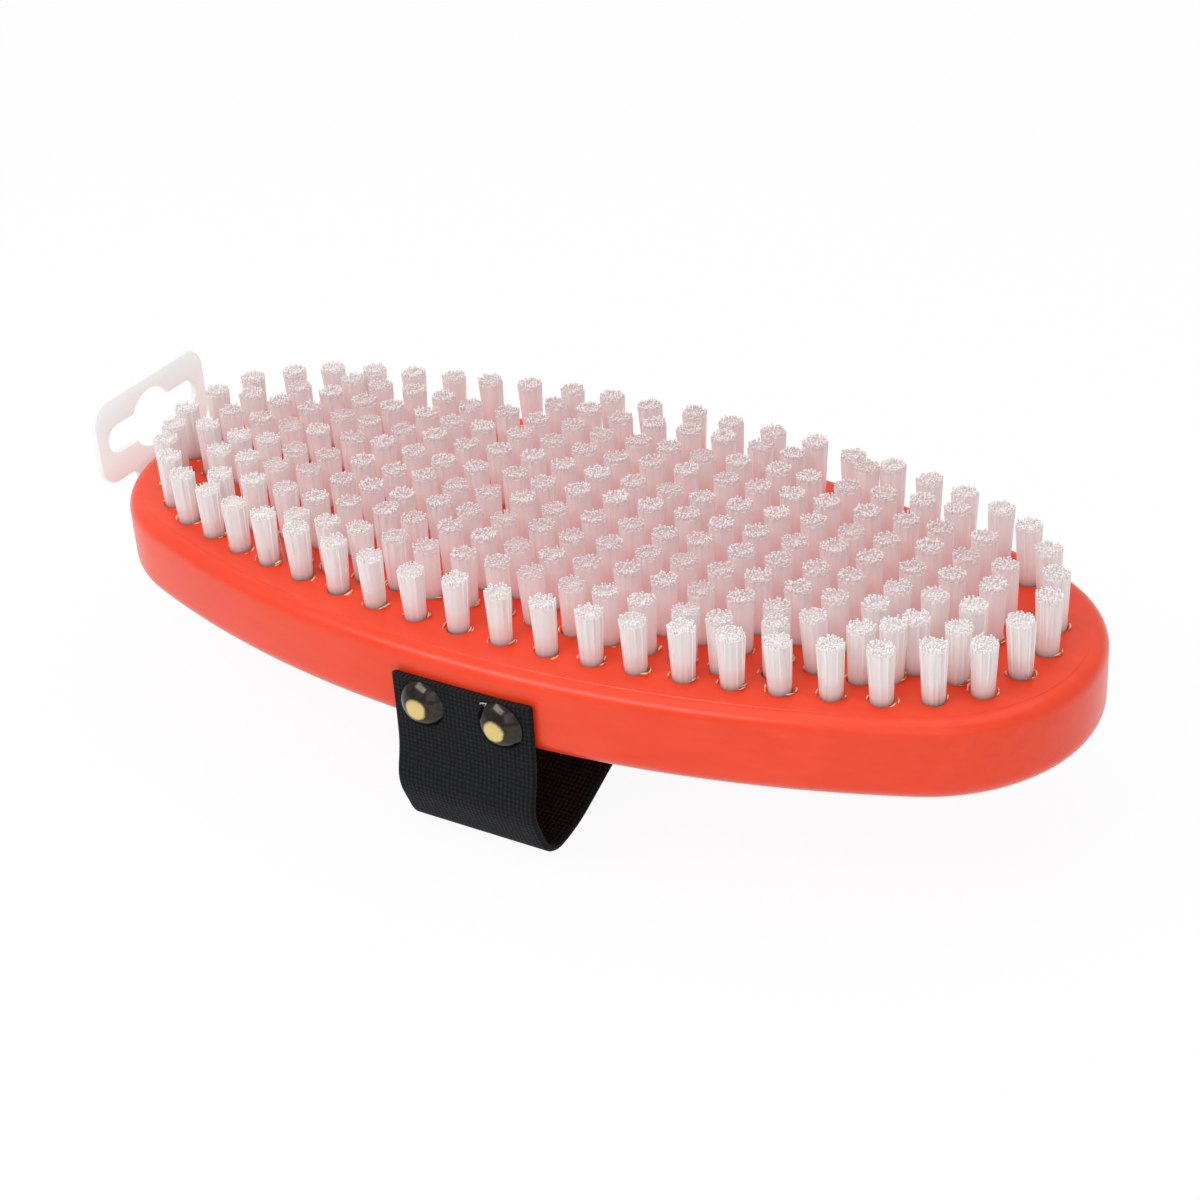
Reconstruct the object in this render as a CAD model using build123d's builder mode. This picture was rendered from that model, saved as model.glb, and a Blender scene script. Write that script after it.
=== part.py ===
from build123d import *
from math import cos, radians, sin, sqrt, tan
import os

# Palm brush: an oval lacquered wood block drilled and filled with nylon tufts,
# an elastic hand strap nailed to both long sides, and a folding hang tab on one end.
# Frame: origin in the middle of the block's palm face, +X along the block,
# +Y across it, +Z out through the bristles. Millimetres.

# Block
block_length = 210.0
block_width = 95.0
block_thick = 16.5
end_radius = 33.5          # the oval is four tangent arcs, this one closes each end
top_edge_radius = 3.0
palm_edge_radius = 4.0

# Tufts
ring_end_inset = 9.75      # rim to the centres of the outer row, at the ends
ring_side_inset = 10.0     # the same along the sides
ring_round_share = 0.8     # end radius of the outer row over that of the block
column_pitch = 7.75        # the straight rows inside it
row_pitch = 7.42
least_pitch = 5.2          # nearest that a straight row comes to the outer row
rows_shift_x = -0.8        # the drilled rows sit a little off centre
rows_shift_y = 0.7
hole_dia = 4.2
hole_depth = 8.5
tuft_gap = 0.25            # hole's mouth to the packed filaments
tuft_height = 12.0         # filaments above the block
tip_dia = 4.9              # a tuft at its tips, spread out from the hole
leg_lift = 0.2             # hole floor up to the ends of the tuft's legs
face_thick = 0.8           # the slice of the block's face that is taken with the tufts
face_margin = 4.0          # how far it reaches past the outer row's centres
face_gap = 0.05

# Tuft anchors: a flat wire across the bottom of each hole, with the tuft folded round it
anchor_thick = 0.4
anchor_height = 1.6
anchor_gap = 0.1

# Hand strap
strap_width = 30.0
strap_thick = 1.4
strap_shift = 2.1          # middle of the strap from the middle of the block
strap_gap = 0.05           # strap to the block's sides
strap_end_drop = 5.2       # block's face down to the strap's ends
hang_depth = 22.2          # palm face down to the middle of the strap at its lowest
bend_share = 0.45          # of the shorter run, taken by each bend of the loop

# Upholstery nails
cap_dia = 9.5
cap_height = 2.6
cap_wall = 0.5
nail_spacing = 17.0
nail_wall = 0.8            # wood left between the nails and the floor of the tuft holes
shank_dia = 1.8
shank_depth = 13.0         # shank inside the wood
shank_point = 2.4
nail_gap = 0.05            # shank to its hole, and shank to the inside of the cap

# Hang tab
tab_thick = 1.2
tab_width = 35.0
tab_height = 18.3
tab_corner = 4.5
tab_shift = -2.0           # middle of the tab from the middle of the block
slot_length = 28.7
slot_height = 6.2
eye_dia = 12.9             # round eye in the middle of the slot
neck_width = 13.5
neck_length = 1.1          # fold line up to the head
fold_drop = 3.0            # block's face down to the fold line
fold_gap = 0.3
foot_length = 8.5
tab_gap = 0.02             # foot to the end of the block

# Staple that holds the foot
wire_dia = 1.0
staple_width = 8.0         # between the middles of its legs
staple_wall = 1.6          # wood left between its legs and the outer row of holes
wire_gap = 0.05

overrun = 1.0              # how far a cutting tool runs past what it cuts

# Worked out from the sizes above
half_length = block_length / 2
half_width = block_width / 2
ring_half_length = half_length - ring_end_inset
ring_half_width = half_width - ring_side_inset
ring_end_radius = end_radius * ring_round_share
floor_z = block_thick - hole_depth
tip_z = block_thick + tuft_height
recess_z = block_thick - face_thick
tip_radius = tip_dia / 2
mouth_radius = hole_dia / 2 - tuft_gap
foot_radius = mouth_radius - (tip_radius - mouth_radius) * (hole_depth - leg_lift) / tuft_height
leg_gap = anchor_thick + 2 * anchor_gap
side_y = half_width + strap_gap            # inner face of the strap on the block's sides
strap_y = side_y + strap_thick / 2
strap_top = block_thick - strap_end_drop
nail_z = floor_z - nail_wall - shank_dia / 2
under_z = -strap_gap - strap_thick / 2     # strap's middle where it runs along the palm face
edge_bend = palm_edge_radius + strap_gap + strap_thick / 2
dome_radius = ((cap_dia / 2) ** 2 + cap_height ** 2) / (2 * cap_height)
shank_top = cap_height - cap_wall - nail_gap - (shank_dia / 2) ** 2 / dome_radius
staple_depth = ring_end_inset - hole_dia / 2 - staple_wall
staple_bend = wire_dia / 2 + wire_gap
tab_x = -(half_length + tab_gap + tab_thick / 2)
fold_z = block_thick - fold_drop
foot_top = fold_z - tab_thick / 2 - fold_gap
head_z = fold_z + neck_length + tab_height / 2

# The outer row is drilled a little unevenly. Each stretch of it: where it starts, as a share
# of the row's length counterclockwise from the +X end, and how many tufts stand along it.
ring_stretch_shares = [
    (0.002, 7),
    (0.136, 9),
    (0.325, 9),
    (0.5045, 3),
    (0.553, 4),
    (0.631, 7),
    (0.782, 11),
]

# Two holes between the rows, where these end short of the outer row, as shares of the
# block's half length and half width
between_shares = [(0.52, -0.554), (0.705, -0.398)]

# Outline of one leg of a tuft, half of a hexagon, as shares of the tuft's radius
gap_share = leg_gap / 2 / foot_radius
leg_shares = [
    (-1, gap_share),
    (1, gap_share),
    (cos(radians(60)), sin(radians(60))),
    (-cos(radians(60)), sin(radians(60))),
]

# Course of the hanging loop, from the near side to the far side: across as a share of
# the strap's half span, down as a share of the hang depth
loop_shares = [
    (-1.0, 0.2),
    (-1.04, 0.52),
    (-0.935, 1.045),
    (-0.735, 1.0),
    (-0.06, 0.38),
    (0.52, 0.13),
]
landing_share = 0.8        # of the half span, where the loop comes up to the palm face


def oval(long_half, short_half, round_end):
    """Closed outline of four tangent arcs, counterclockwise, the first round the +X end."""
    round_side = ((long_half - round_end) ** 2 + short_half ** 2 - round_end ** 2) / (
        2 * (short_half - round_end)
    )
    reach = round_side - round_end
    join_x = (long_half - round_end) * round_side / reach
    join_y = (round_side - short_half) * round_end / reach
    ThreePointArc((join_x, -join_y), (long_half, 0), (join_x, join_y))
    ThreePointArc((join_x, join_y), (0, short_half), (-join_x, join_y))
    ThreePointArc((-join_x, join_y), (-long_half, 0), (-join_x, -join_y))
    ThreePointArc((-join_x, -join_y), (0, -short_half), (join_x, -join_y))


def bend_radii(points, last_bend):
    """Radius at each corner of a path: as gentle as the runs beside it allow."""
    radii = []
    for before, corner, after in zip(points, points[1:], points[2:]):
        run_in = Vector(*corner) - Vector(*before)
        run_out = Vector(*after) - Vector(*corner)
        setback = bend_share * min(run_in.length, run_out.length)
        radii.append(setback / tan(radians(run_in.get_angle(run_out) / 2)))
    radii[-1] = last_bend
    return radii


# Centres of the holes: the outer row, then the straight rows inside it
with BuildLine() as ring_line:
    oval(ring_half_length, ring_half_width, ring_end_radius)
ring_wire = ring_line.wire()
end_share = ring_line.edges()[0].length / 2 / ring_wire.length     # start of the wire to the +X end
stretch_starts = [start for start, tufts in ring_stretch_shares]
stretch_ends = stretch_starts[1:] + [1 + stretch_starts[0]]
ring_centres = []
for (start, tufts), end in zip(ring_stretch_shares, stretch_ends):
    for n in range(tufts):
        share = end_share + start + (end - start) * n / tufts
        ring_centres.append(ring_wire.position_at(share % 1))
ring_face = make_face(ring_line.edges()).face()

columns_each_way = int(ring_half_length / column_pitch) + 1
rows_each_way = int(ring_half_width / row_pitch) + 1
row_centres = []
for row in range(-rows_each_way, rows_each_way + 1):
    for column in range(-columns_each_way, columns_each_way + 1):
        centre = Vector(rows_shift_x + column * column_pitch, rows_shift_y + row * row_pitch)
        if not ring_face.is_inside(centre):
            continue
        if min((centre - other).length for other in ring_centres) >= least_pitch:
            row_centres.append(centre)
between_centres = [Vector(x * half_length, y * half_width) for x, y in between_shares]
hole_centres = ring_centres + row_centres + between_centres
print(len(hole_centres), "tufts,", 2 * len(hole_centres), "strands")

# Nail and staple places, shared by everything that they pass through
nail_places = {
    "near_left": (strap_shift - nail_spacing / 2, -1),
    "near_right": (strap_shift + nail_spacing / 2, -1),
    "far_left": (strap_shift - nail_spacing / 2, 1),
    "far_right": (strap_shift + nail_spacing / 2, 1),
}
staple_z = foot_top - foot_length / 2
staple_legs = [tab_shift - staple_width / 2, tab_shift + staple_width / 2]


def side_plane(x, side, out):
    """Plane on a long side of the block, facing outwards."""
    return Plane((x, side * out, nail_z), x_dir=(1, 0, 0), z_dir=(0, side, 0))


# Block: rounded oval, sunk face, tuft holes, and the nails' and staple's holes
with BuildPart() as block:
    with BuildSketch():
        with BuildLine():
            oval(half_length, half_width, end_radius)
        make_face()
    extrude(amount=block_thick)
    fillet(block.edges().group_by(Axis.Z)[-1], radius=top_edge_radius)
    fillet(block.edges().group_by(Axis.Z)[0], radius=palm_edge_radius)
    with BuildSketch(Plane.XY.offset(recess_z)):
        with BuildLine():
            oval(
                ring_half_length + face_margin,
                ring_half_width + face_margin,
                ring_end_radius + face_margin,
            )
        make_face()
    extrude(amount=face_thick + overrun, mode=Mode.SUBTRACT)
    with BuildSketch(Plane.XY.offset(floor_z)):
        with Locations(*hole_centres):
            Circle(hole_dia / 2)
    extrude(amount=hole_depth, mode=Mode.SUBTRACT)
    for x, side in nail_places.values():
        with BuildSketch(side_plane(x, side, half_width + overrun)):
            Circle(shank_dia / 2 + nail_gap)
        extrude(amount=-(shank_depth + overrun + nail_gap), mode=Mode.SUBTRACT)
    with BuildSketch(Plane.YZ.offset(-half_length - overrun)):
        with Locations(*[(y, staple_z) for y in staple_legs]):
            Circle(wire_dia / 2 + wire_gap)
    extrude(amount=staple_depth + overrun + wire_gap, mode=Mode.SUBTRACT)
block.part.label = "block"

# One tuft: a bundle folded in two, so that it stands as two legs, spreading to the tips
with BuildPart() as tuft:
    for z, radius in ((floor_z + leg_lift, foot_radius), (tip_z, tip_radius)):
        with BuildSketch(Plane.XY.offset(z)):
            Polygon(*[(x * radius, y * radius) for x, y in leg_shares], align=None)
    loft(ruled=True)
    mirror(about=Plane.XZ)

# All tufts, in one piece with the slice of the block's face that they grow from
with BuildPart() as bristles:
    with BuildSketch(Plane.XY.offset(recess_z)):
        with BuildLine():
            oval(
                ring_half_length + face_margin - face_gap,
                ring_half_width + face_margin - face_gap,
                ring_end_radius + face_margin - face_gap,
            )
        make_face()
    extrude(amount=face_thick)
    with Locations(*hole_centres):
        add(tuft.part)
bristles.part.label = "bristles"

# Tuft anchors: one flat wire on the floor of each hole, between the tuft's legs
with BuildPart() as tuft_anchors:
    with BuildSketch(Plane.XY.offset(floor_z)):
        with Locations(*hole_centres):
            Rectangle(2 * mouth_radius, anchor_thick)
    extrude(amount=anchor_height)
tuft_anchors.part.label = "tuft_anchors"

# Hand strap: down the near side, through the hanging loop, and up round the far edge
loop_points = [(across * strap_y, -down * hang_depth) for across, down in loop_shares]
strap_points = (
    [(-strap_y, strap_top)]
    + loop_points
    + [(landing_share * strap_y, under_z), (strap_y, under_z), (strap_y, strap_top)]
)
with BuildPart() as strap:
    with BuildLine(Plane.YZ.offset(strap_shift)) as strap_line:
        FilletPolyline(*strap_points, radius=bend_radii(strap_points, edge_bend))
    strap_wire = strap_line.wire()
    with BuildSketch(Plane(strap_wire @ 0, x_dir=(1, 0, 0), z_dir=strap_wire % 0)):
        Rectangle(strap_width, strap_thick)
    sweep(path=strap_wire)
    for x, side in nail_places.values():
        with BuildSketch(side_plane(x, side, side_y - overrun)):
            Circle(shank_dia / 2 + nail_gap)
        extrude(amount=strap_thick + 2 * overrun, mode=Mode.SUBTRACT)
strap.part.label = "strap"

# Hang tab: the head folds outwards about a line just below the block's face
with BuildPart() as hang_tab:
    with BuildSketch(Plane.YZ.offset(tab_x - tab_thick / 2)):
        with Locations((tab_shift, head_z)):
            RectangleRounded(tab_width, tab_height, tab_corner)
        with Locations((tab_shift, fold_z + neck_length)):
            Rectangle(neck_width, 2 * neck_length)
        with Locations((tab_shift, head_z)):
            SlotOverall(slot_length, slot_height, mode=Mode.SUBTRACT)
            Circle(eye_dia / 2, mode=Mode.SUBTRACT)
    extrude(amount=tab_thick)
    with BuildSketch(Plane.XZ.offset(-tab_shift)):
        with Locations((tab_x, fold_z)):
            Circle(tab_thick / 2)
    extrude(amount=neck_width / 2, both=True)
hang_tab.part.label = "hang_tab"

with BuildPart() as hang_tab_foot:
    with BuildSketch(Plane.YZ.offset(tab_x - tab_thick / 2)):
        with Locations((tab_shift, staple_z)):
            Rectangle(neck_width, foot_length)
        with Locations(*[(y, staple_z) for y in staple_legs]):
            Circle(wire_dia / 2 + wire_gap, mode=Mode.SUBTRACT)
    extrude(amount=tab_thick)
hang_tab_foot.part.label = "hang_tab_foot"

# Staple: its crown lies on the foot and its legs go into the end of the block
crown_x = tab_x - tab_thick / 2 - wire_dia / 2
leg_x = -half_length + staple_depth
staple_points = [
    (leg_x, staple_legs[0], staple_z),
    (crown_x, staple_legs[0], staple_z),
    (crown_x, staple_legs[1], staple_z),
    (leg_x, staple_legs[1], staple_z),
]
with BuildPart() as tab_staple:
    with BuildLine() as staple_line:
        FilletPolyline(*staple_points, radius=staple_bend)
    with BuildSketch(Plane(staple_points[0], z_dir=(-1, 0, 0))):
        Circle(wire_dia / 2)
    sweep(path=staple_line.wire())
tab_staple.part.label = "tab_staple"


def nail_section(x, side):
    """Plane for a nail's half section: local X is its radius, local Y points outwards."""
    seat = (x, side * (side_y + strap_thick), nail_z)
    return Plane(seat, x_dir=(1, 0, 0), z_dir=(0, 0, side))


def make_cap(name, section):
    """Domed head: a thin shell standing on the strap."""
    inner_radius = dome_radius - cap_wall
    rise = dome_radius - cap_height
    inner_rim = sqrt(inner_radius ** 2 - rise ** 2)
    half_rim = cap_dia / 4
    half_inner = inner_rim / 2
    with BuildPart() as cap:
        with BuildSketch(section):
            with BuildLine():
                Line((inner_rim, 0), (cap_dia / 2, 0))
                ThreePointArc(
                    (cap_dia / 2, 0),
                    (half_rim, sqrt(dome_radius ** 2 - half_rim ** 2) - rise),
                    (0, cap_height),
                )
                Line((0, cap_height), (0, cap_height - cap_wall))
                ThreePointArc(
                    (0, cap_height - cap_wall),
                    (half_inner, sqrt(inner_radius ** 2 - half_inner ** 2) - rise),
                    (inner_rim, 0),
                )
            make_face()
        revolve(axis=Axis(section.origin, section.y_dir))
    cap.part.label = name
    return cap.part


def make_shank(name, section):
    """Round shank from under the dome, through the strap, to a point in the wood."""
    half = shank_dia / 2
    point = side_y + strap_thick - half_width + shank_depth
    with BuildPart() as shank:
        with BuildSketch(section):
            with BuildLine():
                Polyline(
                    (0, shank_top),
                    (half, shank_top),
                    (half, -point + shank_point),
                    (0, -point),
                    close=True,
                )
            make_face()
        revolve(axis=Axis(section.origin, section.y_dir))
    shank.part.label = name
    return shank.part


os.makedirs("parts", exist_ok=True)
export_step(block.part, "parts/block.step")
export_step(bristles.part, "parts/bristles.step")
export_step(tuft_anchors.part, "parts/tuft_anchors.step")
export_step(strap.part, "parts/strap.step")
export_step(hang_tab.part, "parts/hang_tab.step")
export_step(hang_tab_foot.part, "parts/hang_tab_foot.step")
export_step(tab_staple.part, "parts/tab_staple.step")
for place, (x, side) in nail_places.items():
    section = nail_section(x, side)
    export_step(make_cap(f"nail_cap_{place}", section), f"parts/nail_cap_{place}.step")
    export_step(make_shank(f"nail_shank_{place}", section), f"parts/nail_shank_{place}.step")
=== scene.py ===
import math
import random
from functools import partial

import bmesh
import bpy
from mathutils import Matrix, Vector


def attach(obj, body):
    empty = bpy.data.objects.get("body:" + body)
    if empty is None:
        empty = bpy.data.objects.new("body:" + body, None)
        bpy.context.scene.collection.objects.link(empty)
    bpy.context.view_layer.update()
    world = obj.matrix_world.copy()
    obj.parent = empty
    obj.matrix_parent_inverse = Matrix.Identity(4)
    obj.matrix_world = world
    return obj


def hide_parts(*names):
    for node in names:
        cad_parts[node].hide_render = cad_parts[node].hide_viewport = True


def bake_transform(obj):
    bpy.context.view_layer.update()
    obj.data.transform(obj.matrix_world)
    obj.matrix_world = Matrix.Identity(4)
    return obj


# Palm brush: lacquered oval block, nylon tufts, elastic strap on domed nails, hang tab.
# Sizes in the dictionaries are millimetres unless a note says otherwise.
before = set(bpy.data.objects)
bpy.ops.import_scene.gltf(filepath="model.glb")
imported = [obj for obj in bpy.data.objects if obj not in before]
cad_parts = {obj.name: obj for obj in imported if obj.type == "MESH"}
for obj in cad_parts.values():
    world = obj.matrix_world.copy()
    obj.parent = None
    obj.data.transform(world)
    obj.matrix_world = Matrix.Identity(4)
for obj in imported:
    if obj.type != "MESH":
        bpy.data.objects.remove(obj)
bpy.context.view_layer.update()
mm = 0.001
rng = random.Random(41)


# Small helpers
def hexColor(code):
    # sRGB hex to the linear values that the shaders want
    parts = [int(code[i:i + 2], 16) / 255 for i in (1, 3, 5)]
    linear = [p / 12.92 if p <= 0.04045 else ((p + 0.055) / 1.055) ** 2.4 for p in parts]
    return (*linear, 1.0)


def setInputs(node, inputs):
    # an input may be a value, another node's output, a node, which stands for its first
    # output, or a list of nodes for a socket that joins them
    for key, given in inputs.items():
        for value in given if isinstance(given, list) else [given]:
            if isinstance(value, bpy.types.Node):
                value = value.outputs[0]
            if isinstance(value, bpy.types.NodeSocket):
                node.id_data.links.new(value, node.inputs[key])
            else:
                node.inputs[key].default_value = value


def addNode(tree, kind, inputs=None, steps=(), **settings):
    # one node with its settings and links; steps are a ramp's positions and hex colours
    node = tree.nodes.new(kind)
    for name, value in settings.items():
        setattr(node, name, value)
    for n, (at, code) in enumerate(steps):
        ramp = node.color_ramp.elements
        element = ramp[n] if n < 2 else ramp.new(at)
        element.position, element.color = at, hexColor(code)
    setInputs(node, inputs or {})
    return node


def newMaterial(name):
    # returns the material, what adds a node to it, and its shader
    material = bpy.data.materials.new(name)
    material.use_nodes = True
    material.node_tree.nodes.clear()
    add = partial(addNode, material.node_tree)
    shader = add("ShaderNodeBsdfPrincipled")
    add("ShaderNodeOutputMaterial", {"Surface": shader})
    return material, add, shader


def newPiece(name, mesh, *materials):
    piece = bpy.data.objects.new(name, mesh)
    bpy.context.scene.collection.objects.link(piece)
    for material in materials:
        mesh.materials.append(material)
    return piece


def newTree(name, sockets):
    # geometry tree with named inputs; returns the tree, what adds a node to it, what it is
    # given and its last node
    tree = bpy.data.node_groups.new(name, "GeometryNodeTree")
    for label, kind in {"Geometry": "Geometry", **sockets}.items():
        tree.interface.new_socket(name=label, in_out="INPUT", socket_type="NodeSocket" + kind)
    tree.interface.new_socket(name="Geometry", in_out="OUTPUT", socket_type="NodeSocketGeometry")
    add = partial(addNode, tree)
    return tree, add, add("NodeGroupInput").outputs, add("NodeGroupOutput")


def growPiece(name, base, tree, values):
    # runs the tree on the base mesh and keeps the result as a plain mesh
    source = newPiece(name + "Source", base)
    modifier = source.modifiers.new(tree.name, "NODES")
    modifier.node_group = tree
    for item in tree.interface.items_tree:
        if item.in_out == "INPUT" and item.name in values:
            modifier[item.identifier] = values[item.name]
    graph = bpy.context.evaluated_depsgraph_get()
    mesh = bpy.data.meshes.new_from_object(
        source.evaluated_get(graph), preserve_all_data_layers=True, depsgraph=graph)
    mesh.name = name
    source.modifiers.remove(modifier)
    bpy.data.objects.remove(source)
    return newPiece(name, mesh)


def smoothByAngle(mesh, degrees):
    # smooth faces, with creases kept where they turn by more than this
    for face in mesh.polygons:
        face.use_smooth = True
    mesh.set_sharp_from_angle(angle=math.radians(degrees))


def finishMesh(work, name, degrees):
    # closes a bmesh into a mesh whose faces point outwards
    bmesh.ops.recalc_face_normals(work, faces=work.faces)
    mesh = bpy.data.meshes.new(name)
    work.to_mesh(mesh)
    work.free()
    smoothByAngle(mesh, degrees)
    return mesh


# Camera
cameraSet = {
    "place": (0.23192, -0.35985, 0.25613),   # metres
    "turn": 32.503,        # degrees round the brush
    "rise": 30.537,        # degrees above it
    "roll": -3.824,
    "lens": 75.567,
    "sensor": 36,
}
cameraData = bpy.data.cameras.new("brushCamera")
cameraData.lens = cameraSet["lens"]
cameraData.sensor_width = cameraSet["sensor"]
cameraObject = bpy.data.objects.new("brushCamera", cameraData)
bpy.context.scene.collection.objects.link(cameraObject)
cameraObject.matrix_world = (
    Matrix.Translation(cameraSet["place"])
    @ Matrix.Rotation(math.radians(cameraSet["turn"]), 4, "Z")
    @ Matrix.Rotation(math.radians(90 - cameraSet["rise"]), 4, "X")
    @ Matrix.Rotation(math.radians(cameraSet["roll"]), 4, "Z")
)
bpy.context.scene.camera = cameraObject
print("camera set")

# Block outline and drilling plan
block = {
    "halfLength": 105.0,
    "halfWidth": 47.5,
    "endRadius": 33.5,       # four tangent arcs make the oval
    "arcSteps": (44, 84),    # points along an end arc and a side arc
    "thickness": 16.5,
    "palmRound": 4.0,
    "topRound": 3.0,
    "roundSteps": (8, 10),   # levels up the palm's rounding and the top's
    "sideLevels": (7.0, 10.0),
    "quirk": 0.13,           # small step that the rounding cutter leaves on the top
    "quirkShare": 0.97,      # of the top's rounding that is left under the step
    "quirkInsets": (0.12, 0.7),
    "holeDiameter": 4.2,
    "holeDepth": 8.5,
    "holeSides": 20,
    "creaseAngle": 35,       # degrees
}
plan = {
    "ringEndInset": 9.75,
    "ringSideInset": 10.0,
    "ringRoundShare": 0.8,
    # stretches of the outer row: start, as a share of its length from the +X end, and tufts
    "ringStretchShares": [(0.002, 7), (0.136, 9), (0.325, 9), (0.5045, 3), (0.553, 4),
                          (0.631, 7), (0.782, 11)],
    "columnPitch": 7.75,     # the straight rows inside it
    "rowPitch": 7.42,
    "columns": 15,           # each side of the middle, before the outline cuts in
    "rows": 8,
    "leastPitch": 5.2,
    "shiftX": -0.8,
    "shiftY": 0.7,
    # two places between the rows, as shares of the block's half length and half width
    "betweenShares": [(0.52, -0.554), (0.705, -0.398)],
}


def ovalArcs(halfLength, halfWidth, endRadius):
    # (centre x, centre y, radius, start angle, sweep) of the four arcs, counterclockwise
    sideRadius = ((halfLength - endRadius) ** 2 + halfWidth ** 2 - endRadius ** 2) / (
        2 * (halfWidth - endRadius))
    centreX = halfLength - endRadius
    centreY = sideRadius - halfWidth
    lean = math.atan2(centreY, centreX)
    return [
        (centreX, 0, endRadius, -lean, 2 * lean),
        (0, -centreY, sideRadius, lean, math.pi - 2 * lean),
        (-centreX, 0, endRadius, math.pi - lean, 2 * lean),
        (0, centreY, sideRadius, math.pi + lean, math.pi - 2 * lean),
    ]


def pointOnOval(arcs, share):
    # point at a share of the outline's length, from the start of the first arc
    run = share * sum(radius * sweep for _, _, radius, _, sweep in arcs)
    for x, y, radius, start, sweep in arcs:
        if run <= radius * sweep:
            angle = start + run / radius
            return (x + radius * math.cos(angle), y + radius * math.sin(angle))
        run -= radius * sweep


def insideOval(arcs, x, y):
    return all(
        math.hypot(x - cx, y - cy) <= radius
        for cx, cy, radius, _, _ in (arcs[1], arcs[3])
    ) and (abs(x) <= arcs[0][0] or math.hypot(abs(x) - arcs[0][0], y) <= arcs[0][2])


blockArcs = ovalArcs(block["halfLength"], block["halfWidth"], block["endRadius"])
ringArcs = ovalArcs(
    block["halfLength"] - plan["ringEndInset"],
    block["halfWidth"] - plan["ringSideInset"],
    block["endRadius"] * plan["ringRoundShare"],
)
# the outline starts half an arc before the +X end
endShare = ringArcs[0][2] * ringArcs[0][4] / 2 / sum(arc[2] * arc[4] for arc in ringArcs)
stretches = plan["ringStretchShares"]
ringPlaces = []
for (start, tuftCount), (end, _) in zip(stretches, stretches[1:] + [(1 + stretches[0][0], 0)]):
    for n in range(tuftCount):
        share = endShare + start + (end - start) * n / tuftCount
        ringPlaces.append(pointOnOval(ringArcs, share % 1))
rowPlaces = [(x * block["halfLength"], y * block["halfWidth"]) for x, y in plan["betweenShares"]]
for row in range(-plan["rows"], plan["rows"] + 1):
    for column in range(-plan["columns"], plan["columns"] + 1):
        x = plan["shiftX"] + column * plan["columnPitch"]
        y = plan["shiftY"] + row * plan["rowPitch"]
        near = min(math.hypot(x - rx, y - ry) for rx, ry in ringPlaces)
        if insideOval(ringArcs, x, y) and near >= plan["leastPitch"]:
            rowPlaces.append((x, y))
print("tuft places:", len(ringPlaces), "round the rim,", len(rowPlaces), "in rows")

# Materials. A noise's scale is per metre: 1000 gives features about 1 mm across.

# Beech under an opaque pigmented lacquer: even red-orange, satin gloss, and a slow mottle
# where the pores drink the coat unevenly
lacquer, add, shader = newMaterial("pigmentedLacquer")
place = add("ShaderNodeTexCoord").outputs["Object"]
alongGrain = add("ShaderNodeMapping", {"Vector": place, "Scale": (60, 420, 420)})
grain = add("ShaderNodeTexNoise", {
    "Vector": alongGrain, "Scale": 1.0, "Detail": 5, "Roughness": 0.6})
mottle = add("ShaderNodeTexNoise", {"Vector": place, "Scale": 45, "Detail": 3})
blend = add("ShaderNodeMath", {0: mottle, 1: grain}, operation="MULTIPLY")
tone = add("ShaderNodeValToRGB", {"Fac": blend}, [(0.1, "#EB3B14"), (0.42, "#F4461D")])
# orange peel of the sprayed coat, about 1.2 mm across, far shallower than it is wide
peel = add("ShaderNodeTexNoise", {"Vector": place, "Scale": 850, "Detail": 2})
bump = add("ShaderNodeBump", {"Height": peel, "Strength": 0.05, "Distance": 0.0006})
bumpGrain = add("ShaderNodeBump", {
    "Height": grain, "Strength": 0.08, "Distance": 0.0004, "Normal": bump})
# the gloss is mostly that of the clear top coat
setInputs(shader, {
    "Base Color": tone, "Normal": bumpGrain, "Roughness": 0.42, "IOR": 1.5,
    "Specular IOR Level": 0.2, "Coat Weight": 0.5, "Coat Roughness": 0.23})


def twoTone(name, scale, detail, steps, **inputs):
    # material whose colour drifts between two tones; inputs are those of its shader
    material, add, shader = newMaterial(name)
    place = add("ShaderNodeTexCoord").outputs["Object"]
    noise = add("ShaderNodeTexNoise", {"Vector": place, "Scale": scale, "Detail": detail})
    tone = add("ShaderNodeValToRGB", {"Fac": noise}, steps)
    setInputs(shader, {"Base Color": tone, **inputs})
    return material, add, shader, noise


# Raw beech on the drilled walls: pale tan, matt, fibres torn by the drill
rawBeech, *_ = twoTone("rawBeech", 1600, 4, [(0, "#8A4A2A"), (1, "#D9A376")], Roughness=0.8)

# Splinters of beech lifted at the hole rims, some with lacquer still on them
splinterWood, *_ = twoTone(
    "splinteredBeech", 700, 2, [(0.40, "#D9562F"), (0.47, "#FAD3A6")], Roughness=0.7)

# Lint: pale yarn, matt
cottonYarn, *_ = twoTone("paleYarn", 1500, 2, [(0, "#8E8983"), (1, "#CDC6BC")], Roughness=0.8)

# Drawn steel wire: fine lines along it, bright but not polished
drawnSteel, add, shader, lines = twoTone(
    "drawnSteelWire", 2500, 3, [(0, "#8C8D90"), (1, "#C4C5C8")], Metallic=1.0)
rough = add("ShaderNodeMapRange", {"Value": lines, "To Min": 0.25, "To Max": 0.45})
setInputs(shader, {"Roughness": rough})

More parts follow.
